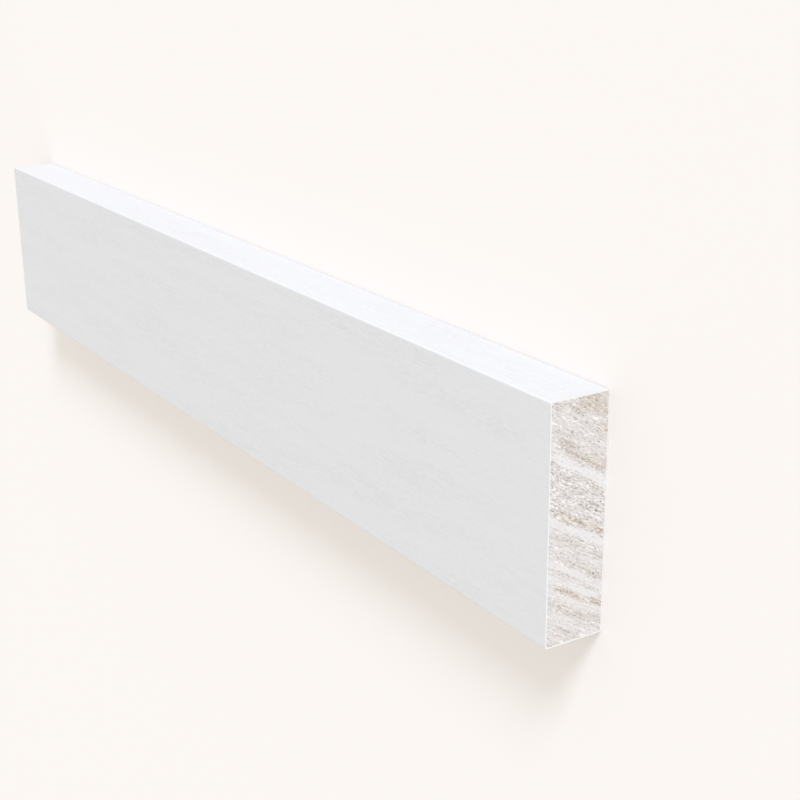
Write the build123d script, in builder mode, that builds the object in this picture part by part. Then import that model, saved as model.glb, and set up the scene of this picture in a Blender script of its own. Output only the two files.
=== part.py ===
"""Square-edge softwood baseboard, one short length, in millimetres.

The board is planed on four sides from one piece of softwood and cut square at both ends. It lies
flat: its back, the face that goes against the wall, is down on Z = 0, and its show face is up.
X runs along the grain, Y across the width, Z through the thickness. The origin is the middle of
the back. In use the board stands on its foot, the long edge at -Y, with its top edge at +Y.
"""
from build123d import *

import os

# Driving dimensions
board_length = 375.0  # cut end to cut end, along the grain
board_width = 63.5  # foot to top edge, the 2 1/2 in of the stock section
board_thickness = 17.5  # back to show face, the 11/16 in of the stock section
arris_radius = 0.5  # the sharp corners left by the planer are only just eased by hand sanding


def make_baseboard():
    """The planed section with its four eased arrises, run from one saw cut to the other."""
    with BuildPart() as baseboard:
        with BuildSketch(Plane.YZ.offset(-board_length / 2)) as section:
            with Locations((0, board_thickness / 2)):
                Rectangle(board_width, board_thickness)
            fillet(section.vertices(), radius=arris_radius)
        extrude(amount=board_length)
    baseboard.part.label = "baseboard"
    return baseboard


os.makedirs("parts", exist_ok=True)
board = make_baseboard()
export_step(board.part, "parts/baseboard.step")
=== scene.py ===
# %% [markdown]
# # A short length of primed baseboard
# The real object is one board of planed softwood. Its long faces wear a thin coat of white primer,
# and its two ends are bare saw cuts, where the growth rings show. This lesson loads the packed
# board, puts a camera and a plain studio round it, and then models and finishes the wood itself.
# All lengths are in metres. X runs along the grain, Y from the foot edge up to the top edge, and
# Z out of the show face. The board lies on its back, so the floor is at Z = 0.

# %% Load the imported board
from math import cos, radians, sin

import bmesh
import bpy
from mathutils import Matrix, Vector, noise


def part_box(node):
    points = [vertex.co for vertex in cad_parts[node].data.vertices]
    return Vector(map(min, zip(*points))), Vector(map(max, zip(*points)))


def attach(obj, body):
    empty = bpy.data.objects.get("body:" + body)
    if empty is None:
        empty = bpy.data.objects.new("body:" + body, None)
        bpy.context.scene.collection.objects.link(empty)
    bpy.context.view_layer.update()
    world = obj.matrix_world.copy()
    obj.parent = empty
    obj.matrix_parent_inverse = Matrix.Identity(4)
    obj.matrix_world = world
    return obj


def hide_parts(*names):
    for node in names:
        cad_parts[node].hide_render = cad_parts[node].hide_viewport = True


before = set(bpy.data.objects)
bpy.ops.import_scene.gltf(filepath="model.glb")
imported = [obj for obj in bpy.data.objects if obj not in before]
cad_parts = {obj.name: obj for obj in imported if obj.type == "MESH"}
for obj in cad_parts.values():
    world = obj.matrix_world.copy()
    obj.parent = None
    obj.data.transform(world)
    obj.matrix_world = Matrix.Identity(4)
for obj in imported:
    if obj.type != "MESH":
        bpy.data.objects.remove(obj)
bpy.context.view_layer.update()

mm = 0.001
low, high = (Vector(corner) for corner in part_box("baseboard"))
length, width, thickness = high - low
middle = (low + high) / 2
print(f"board {length / mm:.1f} x {width / mm:.1f} x {thickness / mm:.1f} mm")

# %% [markdown]
# ## Where the camera stands
# The picture shows the board standing on its foot edge, with its near end towards us. Here the
# board lies flat, so the camera is placed from the board and not from the floor: the board's own
# +Y, towards its top edge, is the picture's upright. A camera could be aimed with a Track To
# constraint, but that keeps the world's Z upright. So the three axes are worked out here instead,
# from how far the camera is turned towards the near end and how far it looks down on the top edge.

# %% Set up the camera
picture_side = 800  # pixels
focal_length = 1490  # pixels, as the spread of the board's far and near corners gives it
sensor_width = 36  # millimetres
camera_aim = Vector((122.5, 13.9, 17.5)) * mm  # a point on the show face
camera_distance = 399 * mm
camera_turn = radians(57.8)  # from square-on to the show face, round towards the near end
camera_drop = radians(18.9)  # down onto the top edge
camera_roll = radians(-0.56)

look = Vector((
    -sin(camera_turn) * cos(camera_drop),
    -sin(camera_drop),
    -cos(camera_turn) * cos(camera_drop),
))
right = look.cross(Vector((0, 1, 0))).normalized()
up = right.cross(look)
facing = Matrix((right, up, -look)).transposed().to_4x4()

camera = bpy.data.objects.new("camera", bpy.data.cameras.new("camera"))
camera.data.sensor_width = sensor_width
camera.data.lens = sensor_width * focal_length / picture_side
camera.data.clip_start = 10 * mm
camera.matrix_world = (
    Matrix.Translation(camera_aim - look * camera_distance)
    @ facing
    @ Matrix.Rotation(camera_roll, 4, "Z")
)
bpy.context.scene.collection.objects.link(camera)
bpy.context.scene.camera = camera
print(f"lens {camera.data.lens:.1f} mm, looking {look.to_tuple(3)}")

# %% [markdown]
# ## Expressions for finishes
# A finish is a network of nodes, and a network is hard to read as a list of links. A small class
# that wraps one socket lets the sums be written as ordinary Python instead: `1 - mask` adds a Math
# node and gives back its output. Any other node comes from the one method `add`, which sets the
# node's settings first and its sockets after them.

# %% A class for shader sums
class Sum:
    """One output of a finish's nodes, which Python's own signs can add, subtract and scale."""

    def __init__(self, finish, socket):
        self.finish = finish
        self.socket = socket

    def __add__(self, other):
        return self.finish.math("ADD", self, other)

    def __radd__(self, other):
        return self.finish.math("ADD", other, self)

    def __sub__(self, other):
        return self.finish.math("SUBTRACT", self, other)

    def __rsub__(self, other):
        return self.finish.math("SUBTRACT", other, self)

    def __mul__(self, other):
        return self.finish.math("MULTIPLY", self, other)

    def __rmul__(self, other):
        return self.finish.math("MULTIPLY", other, self)

    def __truediv__(self, other):
        return self.finish.math("DIVIDE", self, other)

    def __rtruediv__(self, other):
        return self.finish.math("DIVIDE", other, self)

    def __abs__(self):
        return self.finish.math("ABSOLUTE", self)


# %% A class for finishes
class Finish:
    """One material while its nodes are being added."""

    def __init__(self, name):
        self.material = bpy.data.materials.new(name)
        self.material.use_nodes = True
        self.tree = self.material.node_tree
        self.surface = self.tree.nodes["Principled BSDF"]

    def set(self, socket, value):
        """Gives a socket its value, or links it to a Sum."""
        if isinstance(value, Sum):
            self.tree.links.new(value.socket, socket)
        else:
            socket.default_value = value

    def add(self, kind, output=0, inputs=None, **settings):
        """Adds a node, its settings first and then its sockets, and gives one of its outputs."""
        node = self.tree.nodes.new("ShaderNode" + kind)
        for name, setting in settings.items():
            setattr(node, name, setting)
        for name, value in (inputs or {}).items():
            self.set(node.inputs[name], value)
        return Sum(self, node.outputs[output])

    def math(self, operation, *values):
        """Adds a Math node that works on the values in their order."""
        return self.add("Math", inputs=dict(enumerate(values)), operation=operation)

    def paint(self, under, over, amount, blend="MIX"):
        """The colour `over` laid on the colour `under`, as thickly as `amount` says."""
        # A Mix node has sockets for every kind of value, so its colour sockets go by number.
        inputs = {0: amount, 6: under, 7: over}
        return self.add("Mix", output=2, inputs=inputs, data_type="RGBA", blend_type=blend)

    def ramp(self, value, start, end, low=0.0, high=1.0):
        """Rises smoothly from `low` to `high` while the value goes from `start` to `end`."""
        inputs = {0: value, 1: start, 2: end, 3: low, 4: high}
        return self.add("MapRange", inputs=inputs, interpolation_type="SMOOTHSTEP")

    def speckle(self, place, size):
        """Noise from 0 to 1 at a place, in blobs about as long in X, Y and Z as the size says."""
        blobs_per_metre = [1 / blob for blob in size]
        scaled = self.add("Mapping", inputs={"Vector": place, "Scale": blobs_per_metre})
        return self.add("TexNoise", inputs={"Vector": scaled, "Scale": 1.0, "Detail": 2.0})

    def apply(self, values):
        """Gives the sockets of the surface itself their values, and says how many nodes it took."""
        for name, value in values.items():
            self.set(self.surface.inputs[name], value)
        print(f"{self.material.name}: {len(self.tree.nodes)} nodes")


# %% [markdown]
# ## The growth rings
# A board is sawn from a trunk, so its rings are arcs round the pith, which here lies so far outside
# the section that they look nearly straight. They could be drawn on the end as a picture, but the
# same arcs also decide where the saw left the wood rough, so they are worked out once, from each
# point's distance to the pith. The saw cut some bands clean, and they look pale and smooth. Others
# are browner and more torn, and the rest is soft and fuzzy. Where each band lies was read off the
# near end, halfway through the board's thickness. The brown fades out towards the show face.

# %% Place the rings and their bands
ring_tilt = radians(31)  # the rings fall this much from the show face to the back
across_rings = Vector((cos(ring_tilt), -sin(ring_tilt)))  # in Y and Z
along_rings = Vector((sin(ring_tilt), cos(ring_tilt)))
pith_distance = 320 * mm  # from the middle of the section, up past the top edge
pith = middle.yz + across_rings * pith_distance
pale_bands = (  # how far below the top edge, half the width, and how clean the band is
    (18.1 * mm, 1.4 * mm, 1.0),
    (34.7 * mm, 1.1 * mm, 1.0),
    (40.2 * mm, 0.9 * mm, 0.4),
    (46.0 * mm, 0.8 * mm, 0.8),
    (49.4 * mm, 0.8 * mm, 0.9),
    (53.2 * mm, 0.8 * mm, 0.6),
    (59.5 * mm, 1.2 * mm, 0.4),
)
brown_bands = (  # the same two lengths, and how brown the band is
    (-2.0 * mm, 4.5 * mm, 1.0),
    (14.3 * mm, 1.6 * mm, 0.65),
    (32.1 * mm, 1.3 * mm, 1.0),
    (38.3 * mm, 0.7 * mm, 0.4),
    (43.6 * mm, 0.7 * mm, 0.4),
    (51.3 * mm, 0.9 * mm, 1.0),
    (55.9 * mm, 1.1 * mm, 0.5),
    (62.5 * mm, 1.0 * mm, 0.3),
)
print(f"{len(pale_bands)} pale bands and {len(brown_bands)} brown ones")

# %% Measure a spot of the section against the bands
band_softness = 0.4 * mm
band_wander = 0.5  # the share of its half width by which a band widens or narrows


def step(value, start, end):
    """Rises smoothly from 0 to 1 while the value goes up, or down, from start to end."""
    part = min(max((value - start) / (end - start), 0.0), 1.0)
    return part * part * (3 - 2 * part)


def distance_to_pith(y, z):
    """How far a spot of the section is from the pith, which is the same all along a ring."""
    return (Vector((y, z)) - pith).length


def in_band(bands, y, z, wander):
    """How strongly a spot of the section lies in any of the bands, from 0 to 1."""
    strongest = 0.0
    for below_top, half_width, strength in bands:
        beyond = distance_to_pith(y, z) - distance_to_pith(high.y - below_top, middle.z)
        inside = half_width * (1 + band_wander * wander) - abs(beyond)
        strongest = max(strongest, strength * step(inside, -band_softness, band_softness))
    return strongest


for below_top in range(0, 64, 7):  # millimetres
    pale, brown = (
        in_band(bands, high.y - below_top * mm, middle.z, 0) for bands in (pale_bands, brown_bands)
    )
    print(f"{below_top} mm below the top edge: pale {pale:.2f}, brown {brown:.2f}")

# %% [markdown]
# ## The board
# The board could be a cube with a Bevel modifier, but its ends need a mesh fine enough to carry the
# marks of the saw. So the section comes first, as a fine grid, and one extrusion runs it to the
# other end: the ends are then dense, and the long faces are only strips. The four long corners,
# sharp from the planer and eased by hand, are rounded by drawing each grid point in a corner square
# back to a quarter circle.

# %% Extrude the section and ease its corners
grid_step = 0.16 * mm  # finer than the fibres, with less than 200,000 triangles in all
arris = 0.5 * mm  # radius of the eased corners

wood = bmesh.new()
bmesh.ops.create_grid(
    wood,
    x_segments=round(width / grid_step),
    y_segments=round(thickness / grid_step),
    size=0.5,
)
stand_on_end = Matrix((
    (0, 0, 1, low.x),
    (width, 0, 0, middle.y),
    (0, thickness, 0, middle.z),
    (0, 0, 0, 1),
))
bmesh.ops.transform(wood, matrix=stand_on_end, verts=wood.verts)
run = bmesh.ops.extrude_face_region(wood, geom=wood.faces[:], use_keep_orig=True)
near_verts = [part for part in run["geom"] if isinstance(part, bmesh.types.BMVert)]
bmesh.ops.translate(wood, vec=(length, 0, 0), verts=near_verts)
bmesh.ops.recalc_face_normals(wood, faces=wood.faces)
# The extrusion makes its strips in an order that changes from run to run, so they are sorted.
in_order = sorted(wood.faces, key=lambda face: tuple(face.calc_center_median()))
for number, face in enumerate(in_order):
    face.index = number
wood.faces.sort()

for vert in wood.verts:
    centre = Vector((
        min(max(vert.co.y, low.y + arris), high.y - arris),
        min(max(vert.co.z, low.z + arris), high.z - arris),
    ))
    out = vert.co.yz - centre
    if out.x and out.y:
        out *= max(abs(out.x), abs(out.y)) / out.length
        vert.co.yz = centre + out

open_edges = sum(not edge.is_manifold for edge in wood.edges)
print(f"{len(wood.verts)} points, {len(wood.faces)} faces, {open_edges} open edges")

# %% [markdown]
# ## A map for the export
# The finishes below read places in space, so they need no map of the surface. An exported model
# does: its finish is baked to one square picture. An automatic unwrap would give every face room
# by its size, and the ends, with the finest marks of all, would get the least. So each side of the
# board gets its own row of the map here, and the ends' rows are drawn at a larger scale.

# %% Give each side its row of the map
map_gap = 0.006  # between rows and round the map, as a share of its side
row_heights = {  # shares of the map's side too
    "near end": 0.18,
    "far end": 0.18,
    "show face": 0.23,
    "back": 0.23,
    "top edge": 0.065,
    "foot": 0.065,
}


def row_place(out, share):
    """The row of a side that faces `out`, and where a point at that share of the board is in it."""
    if abs(out.x) > 0.5:
        return ("near end", share.y, share.z) if out.x > 0 else ("far end", 1 - share.y, share.z)
    if abs(out.z) >= abs(out.y):
        return ("show face", share.x, share.y) if out.z > 0 else ("back", 1 - share.x, share.y)
    return ("top edge", 1 - share.x, share.z) if out.y > 0 else ("foot", share.x, share.z)


row_starts = {}
next_start = map_gap
for side, height in row_heights.items():
    row_starts[side] = next_start
    next_start += height + map_gap

bake_map = wood.loops.layers.uv.new("OFBake")
for face in wood.faces:
    for loop in face.loops:
        along, across, through = loop.vert.co - low
        share = Vector((along / length, across / width, through / thickness))
        side, u, v = row_place(face.normal, share)
        loop[bake_map].uv = (
            map_gap + u * (1 - 2 * map_gap),
            row_starts[side] + v * row_heights[side],
        )
print(f"the map's rows end at {next_start:.3f} of its height")

# %% [markdown]
# ## The saw's marks
# A saw leaves end grain like stiff brush: the hard bands are cut clean, and the rest is crushed and
# torn into short fibres that lie along the rings, with a pit here and there where a bundle of
# fibres came out whole. A Displace modifier could do this from a texture, but moving each point of
# the ends in code lets the depth follow the rings. Every move goes into the wood, so the board
# keeps its length. What each point is made of is kept in the mesh, for the finish to read.

# %% Make noise that follows the rings
def ring_spot(yz):
    """How far a spot is from the middle of the section, across the rings and along them."""
    beside = yz - middle.yz
    return Vector((beside.dot(across_rings), beside.dot(along_rings)))


def blobs(spot, size, layer, shift=0):
    """Noise from -1 to 1, in blobs of a size across the rings and along them.

    Another layer or shift gives other blobs.
    """
    across, along = size
    return noise.noise(Vector((spot.x / across + shift, spot.y / along, layer)))


corner = ring_spot(high.yz) / mm
print(f"the top corner is {corner.x:.1f} mm across the rings and {corner.y:.1f} mm along them")

# %% Find the bands at a spot of an end
wander_size = (2 * mm, 6 * mm)  # across the rings and along them, as in every size here
drift_size = (9 * mm, 9 * mm)
patch_size = (4 * mm, 7 * mm)
blob_reach = 60 * mm  # along the grain
largest_drift = 1 * mm
faintest = 0.6  # what a faint patch leaves of a band
pale_patches = (-0.35, 0.05)  # the noise where a patch is faintest and where it is full
brown_patches = (0.3, -0.1)
brown_fade = (1 * mm, 4 * mm)  # below the show face


def bands_at(x, y, z):
    """How pale and how brown a spot of an end is, each from 0 to 1."""
    spot = ring_spot(Vector((y, z)))
    layer = x / blob_reach
    wander = blobs(spot, wander_size, layer)
    drift = blobs(spot, drift_size, layer) * largest_drift
    patch = blobs(spot, patch_size, layer + 3)
    pale = in_band(pale_bands, y + drift, z, wander)
    pale *= faintest + (1 - faintest) * step(patch, *pale_patches)
    brown = in_band(brown_bands, y + drift, z, wander)
    brown *= faintest + (1 - faintest) * step(patch, *brown_patches)
    return pale, brown * (1 - pale) * step(high.z - z, *brown_fade)


pale, brown = bands_at(high.x, *middle.yz)
print(f"the middle of the near end is {pale:.2f} pale and {brown:.2f} brown")

# %% Find how the saw tore a spot of an end
fibre_size = (0.22 * mm, 0.8 * mm)
layer_size = (0.27 * mm, 5 * mm)
fibre_reach = 1 * mm  # along the grain
layer_share = 0.5
plain_tear = 0.66  # how much the saw tore the plain wood
soft_tear = 0.22  # how much more it tore the softest rings
pale_tear = -0.55  # and how much less, or more, the bands
brown_tear = 0.2
soft_from = 0 * mm  # the softest rings, across the rings from the middle of the section
soft_to = 10 * mm
soft_fade = 6 * mm
fuzz_contrast = 0.85
fuzz_depth = 0.11 * mm
pit_noise = (0.6, 0.75)  # where a pit starts and where it is full
pit_depth = 0.25 * mm
largest_pit = Vector((1.4, 2.9)) * mm  # Y and Z, on the near end
largest_pit_size = (0.3 * mm, 0.6 * mm)
largest_pit_core = 0.4  # the share of its size where it is full
firm_rim = 0.6 * mm  # the paint holds the outermost fibres, so they tear less
rim_tear = 0.2


def tear_at(x, y, z, pale, brown):
    """How hollow a spot of an end is, how much of a pit it has, and how deep both go."""
    spot = ring_spot(Vector((y, z)))
    layer = x / fibre_reach
    fuzz = blobs(spot, fibre_size, layer) + layer_share * blobs(spot, layer_size, layer + 9)
    softest = step(spot.x, soft_from - soft_fade, soft_from)
    softest *= step(spot.x, soft_to + soft_fade, soft_to)
    tear = (plain_tear + soft_tear * softest) * (1 + pale_tear * pale + brown_tear * brown)
    hollow = min(max(0.5 + fuzz_contrast * fuzz * tear, 0.0), 1.0)
    pit = step(blobs(spot, fibre_size, layer, shift=40), *pit_noise) * (1 - pale)
    if x > middle.x:
        beside = spot - ring_spot(largest_pit)
        reach = Vector((beside.x / largest_pit_size[0], beside.y / largest_pit_size[1])).length
        pit = max(pit, step(reach, 1, largest_pit_core))
    rim = min(y - low.y, high.y - y, z - low.z, high.z - z)
    loose = rim_tear + (1 - rim_tear) * step(rim, 0, firm_rim)
    return hollow, pit, loose * (fuzz_depth * tear * hollow + pit_depth * pit)


# %% Roughen the sawn ends
mark_names = ("pale", "brown", "hollow", "pit")
mark_layers = [wood.verts.layers.float.new(name) for name in mark_names]
deepest = 0.0
for vert in wood.verts:
    x, y, z = vert.co
    pale, brown = bands_at(x, y, z)
    hollow, pit, depth = tear_at(x, y, z, pale, brown)
    for layer, mark in zip(mark_layers, (pale, brown, hollow, pit)):
        vert[layer] = mark
    vert.co.x += -depth if x > middle.x else depth
    deepest = max(deepest, depth)
print(f"deepest saw mark {deepest / mm:.2f} mm")

# %% [markdown]
# ## One object with two finishes
# The board is one piece of wood, so it's one object, and its faces are shared out between two
# finishes. A painted face runs the whole length of the board, and a sawn one lies at one end.
# Shading is smooth round the arrises and over the torn fibres, and the edges where a sawn face
# meets a painted one stay sharp, because a saw leaves them so.

# %% Make the board an object
for face in wood.faces:
    along_grain = [vert.co.x for vert in face.verts]
    sawn = max(along_grain) - min(along_grain) < length / 2
    face.material_index = 1 if sawn else 0
    face.smooth = True
for edge in wood.edges:
    edge.smooth = len({face.material_index for face in edge.link_faces}) == 1

mesh = bpy.data.meshes.new("primed_board")
wood.to_mesh(mesh)
wood.free()
board = bpy.data.objects.new("primed_board", mesh)
bpy.context.scene.collection.objects.link(board)
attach(board, "root")
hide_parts("baseboard")
print(f"{sum(len(face.vertices) - 2 for face in mesh.polygons)} triangles")

# %% [markdown]
# ## The primer
# One thin, matt white coat lets the grain tell through: short, faint strokes that run the length of
# the board, where the planed fibres stand proud or lie sunken. Noise stretched along X does both
# their colour and their small relief. The noise is solid, so a stroke that meets an arris carries
# on round it, as grain does. Along the arrises the coat is painted a little whiter, as a painted
# highlight.

# %% Find the arrises from the section
def rim_distances(finish, place):
    """How far a point of the surface is inside the board's long faces, across Y and across Z."""
    y = finish.add("SeparateXYZ", output="Y", inputs={"Vector": place})
    z = finish.add("SeparateXYZ", output="Z", inputs={"Vector": place})
    return width / 2 - abs(y - middle.y), thickness / 2 - abs(z - middle.z)


# %% Draw the grain that shows through
stroke_size = Vector((2.2, 0.34, 0.34)) * mm
line_size = Vector((16, 0.42, 0.42)) * mm
cloud_size = Vector((70, 9, 9)) * mm  # the coat is thicker in some parts than in others
stroke_share = 0.65

primer = Finish("primer")
place = primer.add("TexCoord", output="Object")
stroke = primer.speckle(place, stroke_size)
line = primer.speckle(place, line_size)
cloud = primer.speckle(place, cloud_size)
grain = stroke * stroke_share + line * (1 - stroke_share)
print(f"strokes of {stroke_size.x / mm:.1f} mm and lines of {line_size.x / mm:.1f} mm")

# %% Finish the long faces
primer_white = (0.748, 0.75, 0.762, 1)
grain_colour = (0.685, 0.681, 0.690, 1)
arris_highlight_white = (0.77, 0.77, 0.78, 1)
grain_strength = (0.4, 0.9)  # under the thick parts of the coat and the thin ones
grain_depth = 0.014 * mm

strength = primer.ramp(cloud, 0.35, 0.65, *grain_strength)
colour = primer.paint(primer_white, grain_colour, strength * primer.ramp(grain, 0.36, 0.68))
inside_arris = primer.math("MAXIMUM", *rim_distances(primer, place))
# Painted highlight: the arrises are painted a little whiter than the coat.
colour = primer.paint(colour, arris_highlight_white, primer.ramp(inside_arris, arris, 0.4 * arris))
relief = primer.add("Bump", inputs={"Height": grain, "Strength": 1.0, "Distance": grain_depth})
primer.apply({
    "Base Color": colour,
    "Roughness": primer.ramp(cloud, 0.3, 0.7, 0.5, 0.6),
    "Normal": relief,
})

# %% [markdown]
# ## The end grain
# The bare ends are pale wood under a mist of primer that drifted onto them while the long faces
# were sprayed. The mist whitened the crests of the torn fibres and left the hollows brown, so the
# marks kept in the mesh drive the colour too. The hollows are also painted darker, as painted
# shade, and the crests lighter, as a painted highlight, and the pits are painted near-black as
# painted shade.
# The brown bands hold resin, which stains the wood gold in some patches and rust in others. A stain
# darkens what is under it, so it's multiplied in, and the crests and hollows still show through.
# Finer noise breaks each fibre up, and along the rim the paint of the long faces laps a little way
# over the cut, painted brighter than the coat as a painted highlight.

# %% Read the saw's marks in the finish
fleck_size = Vector((0.4, 0.17, 0.33)) * mm
stain_size = Vector((8, 2.9, 6)) * mm

end_grain = Finish("end_grain")
place = end_grain.add("TexCoord", output="Object")
turned = end_grain.add("Mapping", inputs={"Vector": place, "Rotation": (ring_tilt, 0, 0)})
fleck = end_grain.speckle(turned, fleck_size)
patch = end_grain.speckle(turned, stain_size)
pale, brown, hollow, pit = (
    end_grain.add("Attribute", output="Fac", attribute_name=name) for name in mark_names
)
print("marks read:", ", ".join(mark_names))

# %% Finish the sawn ends
fuzzy_wood = (0.70, 0.668, 0.65, 1)
pale_wood = (0.78, 0.77, 0.77, 1)
hollow_wood_and_shade = (0.46, 0.41, 0.37, 1)
misted_crest_and_highlight = (0.92, 0.895, 0.87, 1)
golden_stain = (0.93, 0.905, 0.845, 1)
rusty_stain = (0.87, 0.815, 0.755, 1)
pit_shade = (0.22, 0.18, 0.15, 1)
lapped_paint_and_highlight = (0.86, 0.86, 0.86, 1)
lap_width = 0.15 * mm  # at the least
lap_wander = 0.3 * mm
fleck_share = 0.25
fleck_depth = 0.03 * mm

colour = end_grain.paint(fuzzy_wood, pale_wood, pale)
shade = hollow * (1 - fleck_share) + fleck * fleck_share
# The hollows are painted darker and the crests lighter: partly the primer mist's colour, partly
# painted shade and painted highlight of the torn fibres.
colour = end_grain.paint(colour, hollow_wood_and_shade, end_grain.ramp(shade, 0.5, 0.9))
colour = end_grain.paint(colour, misted_crest_and_highlight, end_grain.ramp(shade, 0.5, 0.1))
stain = end_grain.paint(golden_stain, rusty_stain, end_grain.ramp(patch, 0.4, 0.6))
colour = end_grain.paint(colour, stain, brown, blend="MULTIPLY")
# Painted shade: the pits are painted near-black.
colour = end_grain.paint(colour, pit_shade, pit)
rim = end_grain.math("MINIMUM", *rim_distances(end_grain, place))
lap = lap_width + lap_wander * fleck
# The rim band is lapped paint, painted brighter than the coat as a painted highlight.
colour = end_grain.paint(colour, lapped_paint_and_highlight, end_grain.ramp(rim / lap, 1.2, 0.8))
relief = end_grain.add("Bump", inputs={"Height": fleck, "Strength": 1.0, "Distance": fleck_depth})
end_grain.apply({
    "Base Color": colour,
    "Roughness": end_grain.ramp(pale, 0, 1, 0.85, 0.65),
    "Normal": relief,
})

mesh.materials.append(primer.material)
mesh.materials.append(end_grain.material)

# %% [markdown]
# ## The studio
# A pale, matt floor, an even sky and one soft lamp are enough. The lamp stands beyond the top edge
# and a little towards the near end, so the top edge is the brightest face, the show face is a step
# darker and the shadow falls at the foot. Its light is a little bluer than the sky's, as the white
# of the top edge and the warm shadow show. A sun lamp with a wide disc is used rather than an area
# lamp, because its light doesn't fade along the board.

# %% Lay the floor
floor_reach = 60  # metres each way, so that its edges stay out of sight
floor_gap = 0.05 * mm  # keeps the floor's face clear of the board's back

floor_mesh = bpy.data.meshes.new("floor")
sheet = bmesh.new()
bmesh.ops.create_grid(sheet, x_segments=1, y_segments=1, size=floor_reach)
sheet.to_mesh(floor_mesh)
sheet.free()
floor = bpy.data.objects.new("floor", floor_mesh)
floor.location.z = low.z - floor_gap
bpy.context.scene.collection.objects.link(floor)

warm_paper = (0.942, 0.902, 0.868, 1)
paper = Finish("paper")
paper.apply({
    "Base Color": warm_paper,
    "Roughness": 1.0,
    "Specular IOR Level": 0.0,
})
floor_mesh.materials.append(paper.material)

# %% Light the board
sky_colour = (1, 0.98, 0.945, 1)
sky_strength = 0.86
lamp_from = Vector((1.2, 2.1, 1))
lamp_colour = (0.79, 0.87, 1)
lamp_strength = 1.82
lamp_spread = radians(18)

world = bpy.data.worlds.new("studio")
world.use_nodes = True
sky = world.node_tree.nodes["Background"]
sky.inputs["Color"].default_value = sky_colour
sky.inputs["Strength"].default_value = sky_strength
bpy.context.scene.world = world

lamp = bpy.data.objects.new("lamp", bpy.data.lights.new("lamp", "SUN"))
lamp.data.color = lamp_colour
lamp.data.energy = lamp_strength
lamp.data.angle = lamp_spread
lamp.rotation_mode = "QUATERNION"
lamp.rotation_quaternion = lamp_from.to_track_quat("Z", "Y")
bpy.context.scene.collection.objects.link(lamp)
bpy.context.scene.view_settings.view_transform = "Standard"
print(f"sky {sky_strength:.2f}, lamp {lamp_strength:.2f}")
